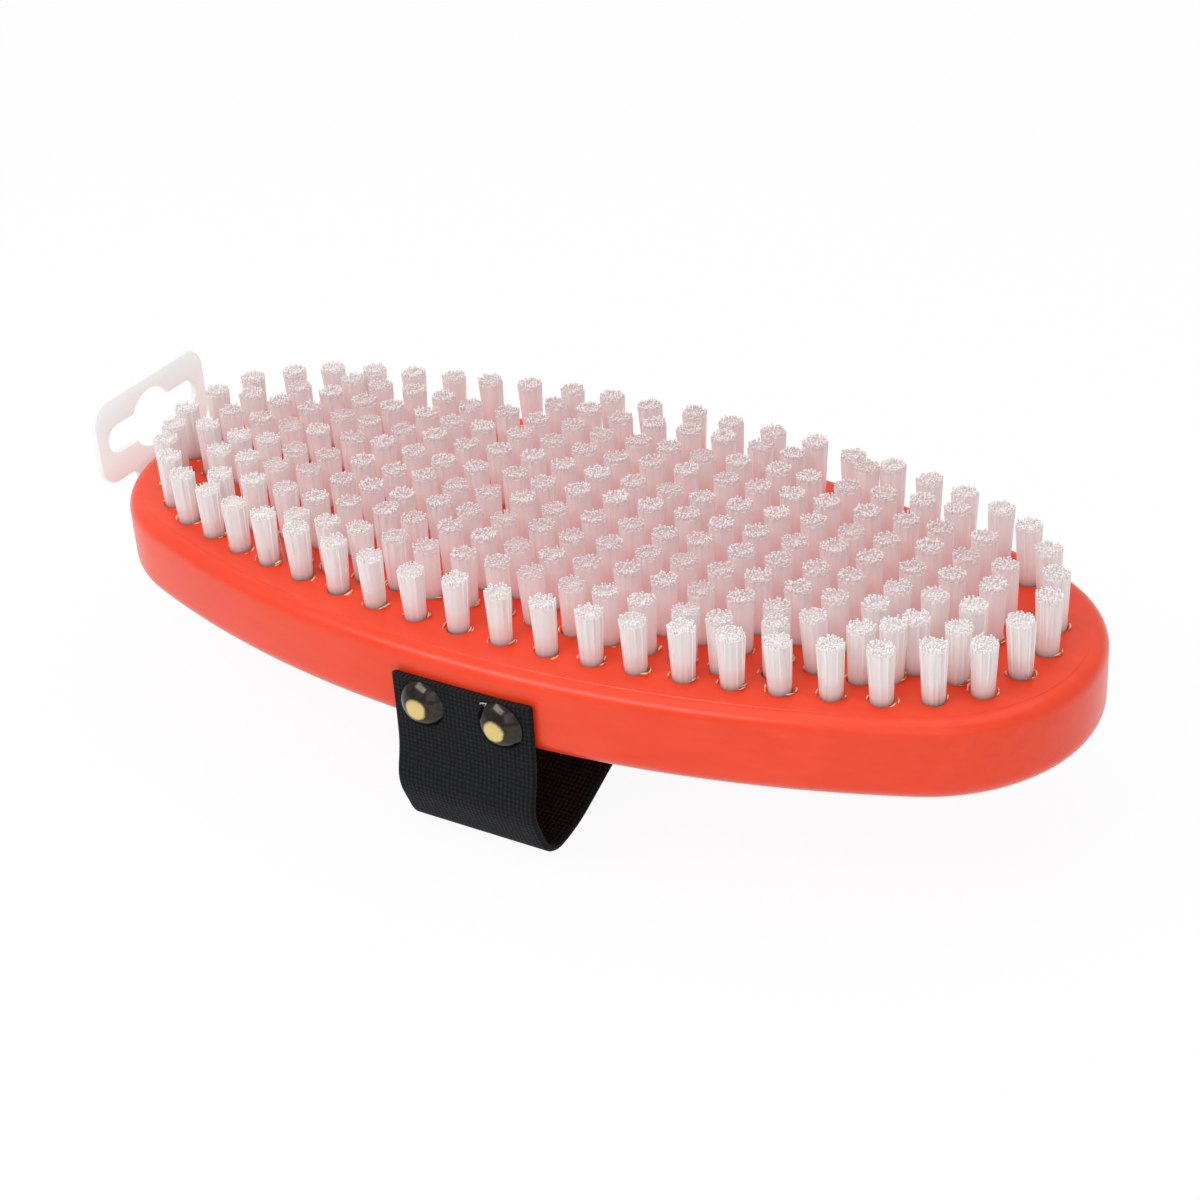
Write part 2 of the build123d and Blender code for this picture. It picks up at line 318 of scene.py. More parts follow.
# Extruded nylon: milky white threads with painted red bounce light from the face they stand on
# and painted shade, greyest where they leave the hole. The middle of a bundle carries light
# through.
trim = {"height": 11.9, "slope": 0.026}    # tufts, trimmed a little lower towards the near side
nylonSteps = [
    # from root to tip, in the open light: painted shade at the root, painted red bounce low down,
    # painted highlight at the very tip
    [(0.0, "#8F8C8E"), (0.05, "#C2B9BA"), (0.14, "#EEDAD8"), (0.4, "#F8F1F0"),
     (0.88, "#F6F1F0"), (0.96, "#F0EAE9"), (1.0, "#FBF8F7")],
    # and a darker, pinker copy: painted shade and painted red bounce for tufts among the other
    # tufts
    [(0.0, "#8F8585"), (0.05, "#CDB6B4"), (0.2, "#ECCFCD"), (0.7, "#E9D6D5"),
     (0.88, "#E2D1D1"), (0.96, "#D5C5C5"), (1.0, "#EBE1E1")],
]


def nylonFinish(name):
    material, add, shader = newMaterial(name)
    material.cycles.emission_sampling = "NONE"
    place = add("ShaderNodeTexCoord").outputs["Object"]
    parts = add("ShaderNodeSeparateXYZ", {0: place}).outputs
    trimmed = add("ShaderNodeMath", {
        0: parts["Y"], 1: trim["slope"], 2: trim["height"] * mm}, operation="MULTIPLY_ADD")
    height = add("ShaderNodeMath", {
        0: parts["Z"], 1: block["thickness"] * mm}, operation="SUBTRACT")
    up = add("ShaderNodeMath", {0: height, 1: trimmed}, operation="DIVIDE", use_clamp=True)
    # a lit ramp and a painted-shade copy of it, by height up the tuft
    lit, paintedShadeCopy = (add("ShaderNodeValToRGB", {"Fac": up}, steps) for steps in nylonSteps)
    # painted shade and red bounce: mixes from the lit ramp to the darker, pinker copy
    paintedBounceShade = add("ShaderNodeAttribute", attribute_name="paintedBounceShade").outputs["Fac"]
    color = add("ShaderNodeMix", {0: paintedBounceShade, 6: lit, 7: paintedShadeCopy}, data_type="RGBA").outputs[2]
    each = add("ShaderNodeAttribute", attribute_name="tone").outputs["Fac"]
    shade = add("ShaderNodeMapRange", {"Value": each, "To Min": 0.96, "To Max": 1.0})
    tinted = add("ShaderNodeMix", {
        0: 1.0, 6: color, 7: shade}, data_type="RGBA", blend_type="MULTIPLY").outputs[2]
    # painted glow: emission that stands in for light wandering from thread to thread before it
    # comes out, stronger among the other tufts
    paintedGlow = add("ShaderNodeMapRange", {"Value": paintedBounceShade, "To Min": 0.06, "To Max": 0.15})
    setInputs(shader, {
        "Base Color": tinted, "Emission Color": tinted, "Emission Strength": paintedGlow,
        "Roughness": 0.36, "IOR": 1.53})
    return material, shader


nylonThread, _ = nylonFinish("nylonThread")
nylonBundle, shader = nylonFinish("nylonBundle")
setInputs(shader, {
    "Subsurface Weight": 0.5, "Subsurface Radius": (1.0, 0.85, 0.85), "Subsurface Scale": 0.0012})

# Woven elastic webbing: black, ribs across and cords along, spaced in the UV map's millimetres
webbing, add, shader = newMaterial("wovenElastic")
weave = {"rib": 0.92, "cord": 0.9}
uv = add("ShaderNodeUVMap", uv_map="webbing")
parts = add("ShaderNodeSeparateXYZ", {0: uv}).outputs
wander = add("ShaderNodeTexNoise", {"Vector": uv, "Scale": 0.9, "Detail": 2})
slack = add("ShaderNodeMath", {0: wander, 1: 0.55}, operation="MULTIPLY")
ridges = []
for axis, spacing in (("Y", weave["rib"]), ("X", weave["cord"])):
    # rounded, from 0 in the furrow to 1 on the ridge
    shifted = add("ShaderNodeMath", {0: parts[axis], 1: slack})
    turn = add("ShaderNodeMath", {0: shifted, 1: 2 * math.pi / spacing}, operation="MULTIPLY")
    swing = add("ShaderNodeMath", {0: turn}, operation="SINE")
    ridges.append(add("ShaderNodeMath", {0: swing, 1: 0.5, 2: 0.5}, operation="MULTIPLY_ADD"))
ribs, cords = ridges
knots = add("ShaderNodeMath", {0: ribs, 1: cords}, operation="MULTIPLY")
relief = add("ShaderNodeMath", {0: cords, 1: 0.7, 2: knots}, operation="MULTIPLY_ADD")
relief = add("ShaderNodeMath", {0: ribs, 1: 0.45, 2: relief}, operation="MULTIPLY_ADD")
fuzz = add("ShaderNodeTexNoise", {"Vector": uv, "Scale": 7, "Detail": 3})
relief = add("ShaderNodeMath", {0: fuzz, 1: 0.5, 2: relief}, operation="MULTIPLY_ADD")
bump = add("ShaderNodeBump", {"Height": relief, "Strength": 0.8, "Distance": 0.00012})
# the weave's pattern, with painted shade: the colour follows the relief and darkens into the
# furrows
level = add("ShaderNodeMath", {0: relief, 1: 0.4}, operation="MULTIPLY")
tone = add("ShaderNodeValToRGB", {"Fac": level}, [(0, "#060707"), (1, "#2A2C2F")])
# the yarns shade one another, so little of the surface gloss is left
setInputs(shader, {
    "Base Color": tone, "Normal": bump, "Roughness": 0.72, "Specular IOR Level": 0.12})

# Pressed steel dome, antiqued nearly black, with the crown buffed back to brass
antiquedBrass, add, shader = newMaterial("antiquedBrass")
nails = {"middleX": 2.1, "halfSpacing": 8.5, "z": 6.3, "crown": 2.15}
place = add("ShaderNodeTexCoord").outputs["Object"]
parts = add("ShaderNodeSeparateXYZ", {0: place}).outputs
fromMiddle = add("ShaderNodeMath", {0: parts["X"], 1: nails["middleX"] * mm}, operation="SUBTRACT")
folded = add("ShaderNodeMath", {0: fromMiddle}, operation="ABSOLUTE")
sideways = add("ShaderNodeMath", {0: folded, 1: nails["halfSpacing"] * mm}, operation="SUBTRACT")
upright = add("ShaderNodeMath", {0: parts["Z"], 1: nails["z"] * mm}, operation="SUBTRACT")
reach = add("ShaderNodeCombineXYZ", {0: sideways, 1: upright})
fromAxis = add("ShaderNodeVectorMath", {0: reach}, operation="LENGTH").outputs["Value"]
scuff = add("ShaderNodeTexNoise", {"Vector": place, "Scale": 900, "Detail": 3})
wobble = add("ShaderNodeMath", {0: scuff, 1: 0.0006, 2: fromAxis}, operation="MULTIPLY_ADD")
crown = add("ShaderNodeMapRange", {
    "Value": wobble, "From Min": (nails["crown"] - 0.1) * mm,
    "From Max": (nails["crown"] + 0.45) * mm, "To Min": 1, "To Max": 0})
patina = add("ShaderNodeValToRGB", {"Fac": scuff}, [(0, "#22201E"), (1, "#504B45")])
mix = add("ShaderNodeMix", {0: crown, 6: patina, 7: hexColor("#EBD08C")}, data_type="RGBA")
rough = add("ShaderNodeMapRange", {"Value": crown, "To Min": 0.15, "To Max": 0.45})
setInputs(shader, {"Base Color": mix.outputs[2], "Roughness": rough, "Metallic": 1.0})

# Natural polypropylene sheet, die cut: milky, with a soft satin skin, lit through from behind, and
# a painted glow from a weak emission
milkySheet, add, shader = newMaterial("milkyPolypropylene")
milkySheet.cycles.emission_sampling = "NONE"
place = add("ShaderNodeTexCoord").outputs["Object"]
haze = add("ShaderNodeTexNoise", {"Vector": place, "Scale": 120, "Detail": 3})
tone = add("ShaderNodeValToRGB", {"Fac": haze}, [(0, "#F4F6F5"), (1, "#FAFCFB")])
skin = add("ShaderNodeTexNoise", {"Vector": place, "Scale": 1800, "Detail": 2})
bump = add("ShaderNodeBump", {"Height": skin, "Strength": 0.1, "Distance": 0.0001})
# the emission paints a glow on the sheet, which is no lamp
setInputs(shader, {
    "Base Color": tone, "Emission Color": tone, "Emission Strength": 0.18, "Normal": bump,
    "Roughness": 0.4, "IOR": 1.49})
through = add("ShaderNodeBsdfTranslucent", {"Color": tone})
milky = add("ShaderNodeMixShader", {0: 0.4, 1: shader, 2: through})
setInputs(milkySheet.node_tree.nodes["Material Output"], {"Surface": milky})
print("materials made")


# Block
def blockRings():
    # rings of the turned edge from the palm face up to the drilled face
    palmSteps, topSteps = block["roundSteps"]
    endSteps, sideSteps = block["arcSteps"]
    levels = []
    for step in range(palmSteps + 1):
        angle = math.radians(90 * step / palmSteps)
        levels.append((block["palmRound"] * (1 - math.sin(angle)),
                       block["palmRound"] * (1 - math.cos(angle))))
    levels += [(0.0, z) for z in block["sideLevels"]]
    for step in range(topSteps + 1):
        angle = math.radians(90 * step / topSteps)
        levels.append((block["topRound"] * (1 - math.cos(angle)),
                       block["thickness"] - block["quirk"]
                       - block["topRound"] * (1 - math.sin(angle)) * block["quirkShare"]))
    levels += [(block["topRound"] + inset, block["thickness"]) for inset in block["quirkInsets"]]
    rings = []
    for inset, z in levels:
        ring = []
        for x, y, radius, start, sweep in blockArcs:
            count = endSteps if radius == block["endRadius"] else sideSteps
            for n in range(count):
                angle = start + sweep * n / count
                ring.append(((x + (radius - inset) * math.cos(angle)) * mm,
                             (y + (radius - inset) * math.sin(angle)) * mm, z * mm))
        rings.append(ring)
    return rings


shell = bpy.data.meshes.new("blockShell")
rings = blockRings()
count = len(rings[0])
corners = [point for ring in rings for point in ring]
faces = [tuple(range(count))[::-1]]
for low in range(0, len(corners) - count, count):
    for n in range(count):
        after = (n + 1) % count
        faces.append((low + n, low + after, low + count + after, low + count + n))
shell.from_pydata(corners, [], faces)

# points that carry the tufts, on the block's face
places = bpy.data.meshes.new("tuftPlaces")
places.from_pydata([(x * mm, y * mm, block["thickness"] * mm) for x, y in ringPlaces + rowPlaces],
                   [], [])
placesObject = newPiece("tuftPlaces", places)

# Geometry Nodes: fill the face round the holes, then sink a blind hole at each place
tree, add, given, result = newTree("drilledFace", {
    "Hole Places": "Object", "Hole Diameter": "Float", "Hole Depth": "Float",
    "Face Height": "Float", "Hole Sides": "Int", "Lacquer": "Material", "Raw Wood": "Material"})
spots = add("GeometryNodeObjectInfo", {"Object": given["Hole Places"]})
halfHole = add("ShaderNodeMath", {0: given["Hole Diameter"], 1: 0.5}, operation="MULTIPLY")
circle = add("GeometryNodeCurvePrimitiveCircle", {
    "Resolution": given["Hole Sides"], "Radius": halfHole})
dotted = add("GeometryNodeInstanceOnPoints", {
    "Points": spots.outputs["Geometry"], "Instance": circle})
circles = add("GeometryNodeRealizeInstances", {0: dotted})
beside = add("GeometryNodeInputMeshEdgeNeighbors")
openEdge = add("FunctionNodeCompare", {2: beside, 3: 1}, data_type="INT", operation="EQUAL")
outline = add("GeometryNodeMeshToCurve", {"Mesh": given["Geometry"], "Selection": openEdge})
both = add("GeometryNodeJoinGeometry", {0: [outline, circles]})
filled = add("GeometryNodeFillCurve", {"Curve": both}, mode="TRIANGLES")
spot = add("GeometryNodeInputPosition")
flat = add("ShaderNodeSeparateXYZ", {0: spot}).outputs
onFace = add("ShaderNodeCombineXYZ", {0: flat["X"], 1: flat["Y"], 2: given["Face Height"]})
face = add("GeometryNodeSetPosition", {"Geometry": filled, "Position": onFace})
wires = add("GeometryNodeCurveToMesh", {"Curve": circles})
down = add("ShaderNodeMath", {0: given["Hole Depth"], 1: -1.0}, operation="MULTIPLY")
downward = add("ShaderNodeCombineXYZ", {2: down})
walls = add("GeometryNodeExtrudeMesh", {
    "Mesh": wires, "Offset": downward, "Offset Scale": 1.0}, mode="EDGES")
floors = add("GeometryNodeFillCurve", {"Curve": circles}, mode="NGONS")
floorZ = add("ShaderNodeMath", {
    0: given["Face Height"], 1: given["Hole Depth"]}, operation="SUBTRACT")
onFloor = add("ShaderNodeCombineXYZ", {0: flat["X"], 1: flat["Y"], 2: floorZ})
floor = add("GeometryNodeSetPosition", {"Geometry": floors, "Position": onFloor})
outside = add("GeometryNodeJoinGeometry", {0: [given["Geometry"], face]})
coated = add("GeometryNodeSetMaterial", {"Geometry": outside, "Material": given["Lacquer"]})
inside = add("GeometryNodeJoinGeometry", {0: [walls, floor]})
bare = add("GeometryNodeSetMaterial", {"Geometry": inside, "Material": given["Raw Wood"]})
whole = add("GeometryNodeJoinGeometry", {0: [coated, bare]})
welded = add("GeometryNodeMergeByDistance", {"Geometry": whole, "Distance": 0.00001})
setInputs(result, {0: add("GeometryNodeRealizeInstances", {0: welded})})

woodBlock = growPiece("woodBlock", shell, tree, {
    "Hole Places": placesObject, "Hole Diameter": block["holeDiameter"] * mm,
    "Hole Depth": block["holeDepth"] * mm, "Face Height": block["thickness"] * mm,
    "Hole Sides": block["holeSides"], "Lacquer": lacquer, "Raw Wood": rawBeech})
work = bmesh.new()
work.from_mesh(woodBlock.data)
bmesh.ops.recalc_face_normals(work, faces=work.faces)
loose = sum(1 for edge in work.edges if not edge.is_manifold)
work.to_mesh(woodBlock.data)
work.free()
smoothByAngle(woodBlock.data, block["creaseAngle"])
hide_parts("block")
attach(woodBlock, "brush")
print("block drilled, open edges:", loose)

# Tufts
tufts = {
    "filaments": 84,          # a little coarser than the real 0.3 mm, so that they show
    "filamentDiameter": 0.40,
    "filamentSides": 4,
    "rootRadius": 1.66,       # of the bundle at the bottom of its hole
    "tipRadius": 2.32,
    "rootDepth": 8.2,
    "spreadPower": 0.36,      # under the 0.5 of an even spread, so the bundle's skin is closed
    "loose": 0.13,            # how far a filament strays from its line
    "lean": 0.34,             # standard deviation of a tuft's lean at the tip
    "heightSpread": 0.15,     # and of its height
    "splay": 0.16,            # how far the outer filaments curl out at the tip
    "curlPower": 3.0,
    "uneven": 1.0,            # trimmed ends, highest to lowest
    "unevenPower": 1.6,       # most ends are near the highest
    "coreSides": 14,
    "coreShare": 1.07,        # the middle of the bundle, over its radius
    "coreDrop": 1.0,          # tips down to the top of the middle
    "blushStart": 0.16,       # share of the way in from the rim where the painted shade and red bounce start
    "blushGain": 4.0,
    "blushFar": 0.6,          # more on the far half
    "seed": 7,
    "creaseAngle": 60,
}
goldenAngle = 2.399963


def tuftMesh(name, spots):
    mesh = bpy.data.meshes.new(name)
    mesh.from_pydata([(x * mm, y * mm, block["thickness"] * mm) for x, y in spots], [], [])
    kinds = {"turn": "FLOAT", "lean": "FLOAT_VECTOR", "high": "FLOAT", "paintedBounceShade": "FLOAT"}
    for label, kind in kinds.items():
        mesh.attributes.new(label, kind, "POINT")
    turns, leans, heights, paintedBounceShades = (mesh.attributes[label].data for label in kinds)
    for n, (x, y) in enumerate(spots):
        turns[n].value = rng.uniform(0, 2 * math.pi)
        leans[n].vector = (
            rng.gauss(0, tufts["lean"]) * mm, rng.gauss(0, tufts["lean"]) * mm, 0)
        heights[n].value = (
            trim["height"] + trim["slope"] * y + rng.gauss(0, tufts["heightSpread"])) * mm
        # painted light and shade: the near rim keeps the lit colours, the rest gets painted shade
        # and red bounce from its red surroundings
        inward = 1 - math.hypot(x / block["halfLength"], y / block["halfWidth"])
        paintedBounceShade = tufts["blushGain"] * (inward - tufts["blushStart"]) + tufts["blushFar"] * (y > 0)
        paintedBounceShades[n].value = min(1.0, max(0.0, paintedBounceShade))
    return mesh


lengths = ("filamentDiameter", "rootRadius", "tipRadius", "rootDepth", "splay", "uneven",
           "coreDrop")
tree, add, given, result = newTree("tuftFilaments", {
    **{label: "Float" for label in lengths}, "filaments": "Int", "filamentSides": "Int",
    "coreShare": "Float", "seed": "Int", "thread": "Material", "bundle": "Material"})
points = add("GeometryNodeMeshToPoints", {"Mesh": given["Geometry"]})
many = add("GeometryNodeDuplicateElements", {
    "Geometry": points, "Amount": given["filaments"]}, domain="POINT")
number = many.outputs["Duplicate Index"]
half = add("ShaderNodeMath", {0: number, 1: 0.5})
ratio = add("ShaderNodeMath", {0: half, 1: given["filaments"]}, operation="DIVIDE")
out = add("ShaderNodeMath", {0: ratio, 1: tufts["spreadPower"]}, operation="POWER")
turn, high, along = (
    add("GeometryNodeInputNamedAttribute", {"Name": label}, data_type="FLOAT")
    for label in ("turn", "high", "along"))
lean, aim = (
    add("GeometryNodeInputNamedAttribute", {"Name": label}, data_type="FLOAT_VECTOR")
    for label in ("lean", "outward"))
# sunflower packing: each filament turns by the golden angle from the last
angle = add("ShaderNodeMath", {0: number, 1: goldenAngle, 2: turn}, operation="MULTIPLY_ADD")
cosine = add("ShaderNodeMath", {0: angle}, operation="COSINE")
sine = add("ShaderNodeMath", {0: angle}, operation="SINE")
heading = add("ShaderNodeCombineXYZ", {0: cosine, 1: sine})
outward = add("ShaderNodeVectorMath", {0: heading, "Scale": out}, operation="SCALE")
rootAt = add("ShaderNodeVectorMath", {0: outward, "Scale": given["rootRadius"]}, operation="SCALE")
tipAt = add("ShaderNodeVectorMath", {0: outward, "Scale": given["tipRadius"]}, operation="SCALE")
seed = given["seed"]
stray = tufts["loose"] * mm
loose = add("FunctionNodeRandomValue", {
    0: (-stray, -stray, 0), 1: (stray, stray, 0), "Seed": seed}, data_type="FLOAT_VECTOR")
sway = add("ShaderNodeVectorMath", {0: lean, 1: loose})
across = add("ShaderNodeVectorMath", {0: tipAt, 1: rootAt}, operation="SUBTRACT")
across = add("ShaderNodeVectorMath", {0: across, 1: sway})
seedTwo = add("ShaderNodeMath", {0: seed, 1: 11.0})
short = add("FunctionNodeRandomValue", {
    2: 0.0, 3: 1.0, "Seed": seedTwo}, data_type="FLOAT").outputs[1]
short = add("ShaderNodeMath", {0: short, 1: tufts["unevenPower"]}, operation="POWER")
cut = add("ShaderNodeMath", {0: short, 1: given["uneven"]}, operation="MULTIPLY")
full = add("ShaderNodeMath", {0: high, 1: given["rootDepth"]})
tall = add("ShaderNodeMath", {0: full, 1: cut}, operation="SUBTRACT")
rise = add("ShaderNodeCombineXYZ", {2: tall})
course = add("ShaderNodeVectorMath", {0: across, 1: rise})
long = add("ShaderNodeVectorMath", {0: course}, operation="LENGTH").outputs["Value"]
sink = add("ShaderNodeMath", {0: given["rootDepth"], 1: -1.0}, operation="MULTIPLY")
below = add("ShaderNodeCombineXYZ", {2: sink})
root = add("ShaderNodeVectorMath", {0: rootAt, 1: below})
planted = add("GeometryNodeSetPosition", {"Geometry": many, "Offset": root})
seedThree = add("ShaderNodeMath", {0: seed, 1: 23.0})
toneValue = add("FunctionNodeRandomValue", {
    2: 0.0, 3: 1.0, "Seed": seedThree}, data_type="FLOAT").outputs[1]
toned = add("GeometryNodeStoreNamedAttribute", {
    "Geometry": planted, "Name": "tone", "Value": toneValue}, data_type="FLOAT")
aimed = add("GeometryNodeStoreNamedAttribute", {
    "Geometry": toned, "Name": "outward", "Value": outward}, data_type="FLOAT_VECTOR")
thick = add("ShaderNodeMath", {0: given["filamentDiameter"], 1: 0.5}, operation="MULTIPLY")
strand = add("GeometryNodeMeshCylinder", {
    "Vertices": given["filamentSides"], "Side Segments": 2, "Radius": thick, "Depth": 1.0})
lifted = add("GeometryNodeTransform", {"Geometry": strand, "Translation": (0, 0, 0.5)})
spot = add("GeometryNodeInputPosition")
spotZ = add("ShaderNodeSeparateXYZ", {0: spot}).outputs["Z"]
marked = add("GeometryNodeStoreNamedAttribute", {
    "Geometry": lifted, "Name": "along", "Value": spotZ}, data_type="FLOAT")
tilt = add("FunctionNodeAlignRotationToVector", {"Vector": course}, axis="Z")
stretch = add("ShaderNodeCombineXYZ", {0: 1.0, 1: 1.0, 2: long})
stood = add("GeometryNodeInstanceOnPoints", {
    "Points": aimed, "Instance": marked, "Rotation": tilt, "Scale": stretch})
real = add("GeometryNodeRealizeInstances", {0: stood})
curl = add("ShaderNodeMath", {0: along, 1: tufts["curlPower"]}, operation="POWER")
curl = add("ShaderNodeMath", {0: curl, 1: given["splay"]}, operation="MULTIPLY")
push = add("ShaderNodeVectorMath", {0: aim, "Scale": curl}, operation="SCALE")
bent = add("GeometryNodeSetPosition", {"Geometry": real, "Offset": push})
# the middle of each bundle, where the threads leave no gap
coreRoot, coreTip = (
    add("ShaderNodeMath", {0: given[label], 1: given["coreShare"]}, operation="MULTIPLY")
    for label in ("rootRadius", "tipRadius"))
cone = add("GeometryNodeMeshCone", {
    "Vertices": tufts["coreSides"], "Radius Top": coreTip, "Radius Bottom": coreRoot,
    "Depth": 1.0})
coreTall = add("ShaderNodeMath", {0: full, 1: given["coreDrop"]}, operation="SUBTRACT")
coreScale = add("ShaderNodeCombineXYZ", {0: 1.0, 1: 1.0, 2: coreTall})
coreRise = add("ShaderNodeCombineXYZ", {2: coreTall})
coreCourse = add("ShaderNodeVectorMath", {0: lean, 1: coreRise})
coreTilt = add("FunctionNodeAlignRotationToVector", {"Vector": coreCourse}, axis="Z")
sunk = add("GeometryNodeSetPosition", {"Geometry": points, "Offset": below})
cores = add("GeometryNodeInstanceOnPoints", {
    "Points": sunk, "Instance": cone, "Rotation": coreTilt, "Scale": coreScale})
coresReal = add("GeometryNodeRealizeInstances", {0: cores})
evenTone = add("GeometryNodeStoreNamedAttribute", {
    "Geometry": coresReal, "Name": "tone", "Value": 0.5}, data_type="FLOAT")
threads = add("GeometryNodeSetMaterial", {"Geometry": bent, "Material": given["thread"]})
middles = add("GeometryNodeSetMaterial", {"Geometry": evenTone, "Material": given["bundle"]})
setInputs(result, {0: add("GeometryNodeJoinGeometry", {0: [threads, middles]})})

rowSplit = sorted(rowPlaces)
middle = len(rowSplit) // 2
for name, spots in (("tuftsRim", ringPlaces), ("tuftsLeft", rowSplit[:middle]),
                    ("tuftsRight", rowSplit[middle:])):
    piece = growPiece(name, tuftMesh(name + "Places", spots), tree, {
        **tufts, **{label: tufts[label] * mm for label in lengths},
        "thread": nylonThread, "bundle": nylonBundle})
    smoothByAngle(piece.data, tufts["creaseAngle"])
    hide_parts("bristles")
    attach(piece, "brush")
    print(name, len(spots), "tufts,", len(piece.data.polygons), "faces")

# Splinters at the hole rims
splinters = {
    "perHole": 4,
    "radius": 2.55,
    "thickness": 0.16,
    "sweep": 46,              # degrees round the hole
    "points": 7,
    "leastSwell": 0.12,       # thickness at the ends, over that of the middle
    # radians, from and to: tilts about x and y, then how far it turns either way
    "tilts": ((-0.25, -0.3), (0.25, 0.1)),
    "turn": 0.6,
    "sizes": ((0.94, 0.94, 0.7), (1.14, 1.14, 1.6)),
    "seed": 3,
}
tree, add, given, result = newTree("rimSplinters", {
    "perHole": "Int", "radius": "Float", "thickness": "Float", "seed": "Int", "wood": "Material"})
many = add("GeometryNodeDuplicateElements", {
    "Geometry": given["Geometry"], "Amount": given["perHole"]}, domain="POINT")
arc = add("GeometryNodeCurveArc", {
    "Resolution": splinters["points"], "Radius": given["radius"], "Start Angle": 0.0,
    "Sweep Angle": math.radians(splinters["sweep"])})
share = add("GeometryNodeSplineParameter").outputs["Factor"]
swell = add("ShaderNodeMath", {0: share, 1: math.pi}, operation="MULTIPLY")
swell = add("ShaderNodeMath", {0: swell}, operation="SINE")
swell = add("ShaderNodeMath", {0: swell, 1: splinters["leastSwell"]})
section = add("GeometryNodeCurvePrimitiveCircle", {"Resolution": 4, "Radius": given["thickness"]})
flake = add("GeometryNodeCurveToMesh", {
    "Curve": arc, "Profile Curve": section, "Fill Caps": True, "Scale": swell})
seed = given["seed"]
# torn up on the two sides that the grain runs towards
halfSweep = math.radians(splinters["sweep"] / 2)
leastTilt, mostTilt = splinters["tilts"]
spin = add("FunctionNodeRandomValue", {
    0: (*leastTilt, -splinters["turn"] - halfSweep),
    1: (*mostTilt, splinters["turn"] - halfSweep), "Seed": seed}, data_type="FLOAT_VECTOR")
sideNumber = add("ShaderNodeMath", {
    0: many.outputs["Duplicate Index"], 1: 2.0}, operation="MODULO")
halfTurn = add("ShaderNodeMath", {0: sideNumber, 1: math.pi}, operation="MULTIPLY")
halfTurn = add("ShaderNodeCombineXYZ", {2: halfTurn})
spin = add("ShaderNodeVectorMath", {0: spin, 1: halfTurn})
seedTwo = add("ShaderNodeMath", {0: seed, 1: 5.0})
size = add("FunctionNodeRandomValue", {
    0: splinters["sizes"][0], 1: splinters["sizes"][1], "Seed": seedTwo}, data_type="FLOAT_VECTOR")
laid = add("GeometryNodeInstanceOnPoints", {
    "Points": many, "Instance": flake, "Rotation": spin, "Scale": size})
real = add("GeometryNodeRealizeInstances", {0: laid})
dressed = add("GeometryNodeSetMaterial", {"Geometry": real, "Material": given["wood"]})
setInputs(result, {0: dressed})
rimSplinters = growPiece("rimSplinters", places.copy(), tree, {
    **splinters, "radius": splinters["radius"] * mm, "thickness": splinters["thickness"] * mm,
    "wood": splinterWood})
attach(rimSplinters, "brush")
bpy.data.objects.remove(placesObject)
print("splinters laid:", len(rimSplinters.data.polygons), "faces")

# Strap
strap = {
    "width": 30.0,
    "thickness": 1.4,
    "middleX": 2.1,
    "endDrop": 5.2,           # block's face down to the strap's ends
    "hang": 22.2,
    "gap": 0.05,
    # corners of the hanging loop: across, as a share of the half width, and down, of the hang
    "loop": [(-1.0, 0.2), (-1.04, 0.52), (-0.935, 1.045), (-0.735, 1.0), (-0.06, 0.38),
             (0.52, 0.13)],
    "landing": 0.8,
    "bendShare": 0.45,
    "pathStep": 0.9,
    "columns": 16,            # across the width
    "edge": 0.5,              # where the flat ends and the selvedge rolls over
    "edgeRoll": 0.15,
    "edgeShare": 0.7,         # of the thickness that is left there
    "bowSlack": 0.25,         # how far it stands off the block's curve
    "hugFrom": -6.0,          # height where it takes on that curve, and over what rise
    "hugRise": 8.0,
    "creaseAngle": 50,
}


def roundedPath(corners, radii, step):
    # straight runs joined by arcs, as points about one step apart
    points = [Vector(corners[0])]
    for n in range(1, len(corners) - 1):
        before, corner, after = (Vector(c) for c in corners[n - 1:n + 2])
        wayIn = (corner - before).normalized()
        wayOut = (after - corner).normalized()
        turn = wayIn.angle(wayOut)
        setback = radii[n - 1] * math.tan(turn / 2)
        start, end = corner - wayIn * setback, corner + wayOut * setback
        pieces = max(3, int(radii[n - 1] * turn / step))
        for k in range(pieces + 1):
            t = k / pieces
            # a circle's arc, written as a weighted curve through the corner
            w = math.cos(turn / 2)
            top = start * (1 - t) ** 2 + corner * (2 * w * t * (1 - t)) + end * t ** 2
            points.append(top / ((1 - t) ** 2 + 2 * w * t * (1 - t) + t ** 2))
    points.append(Vector(corners[-1]))
    filled = [points[0]]
    for point in points[1:]:
        start = filled[-1]
        gap = (point - start).length
        if gap < 0.02:      # a point that is there already
            continue
        parts = max(1, int(gap / step))
        filled += [start.lerp(point, k / parts) for k in range(1, parts + 1)]
    return filled


sideY = block["halfWidth"] + strap["gap"] + strap["thickness"] / 2
underZ = -strap["gap"] - strap["thickness"] / 2
topZ = block["thickness"] - strap["endDrop"]
corners = [(-sideY, topZ)]
corners += [(across * sideY, -downShare * strap["hang"]) for across, downShare in strap["loop"]]
corners += [(strap["landing"] * sideY, underZ), (sideY, underZ), (sideY, topZ)]
radii = []
for before, corner, after in zip(corners, corners[1:], corners[2:]):
    runIn, runOut = Vector(corner) - Vector(before), Vector(after) - Vector(corner)
    setback = strap["bendShare"] * min(runIn.length, runOut.length)
    radii.append(setback / math.tan(runIn.angle(runOut) / 2))
radii[-1] = block["palmRound"] + strap["gap"] + strap["thickness"] / 2
path = roundedPath(corners, radii, strap["pathStep"])
print("strap path points:", len(path))

work = bmesh.new()
uvLayer = work.loops.layers.uv.new("webbing")
halfWide, halfThick = strap["width"] / 2, strap["thickness"] / 2
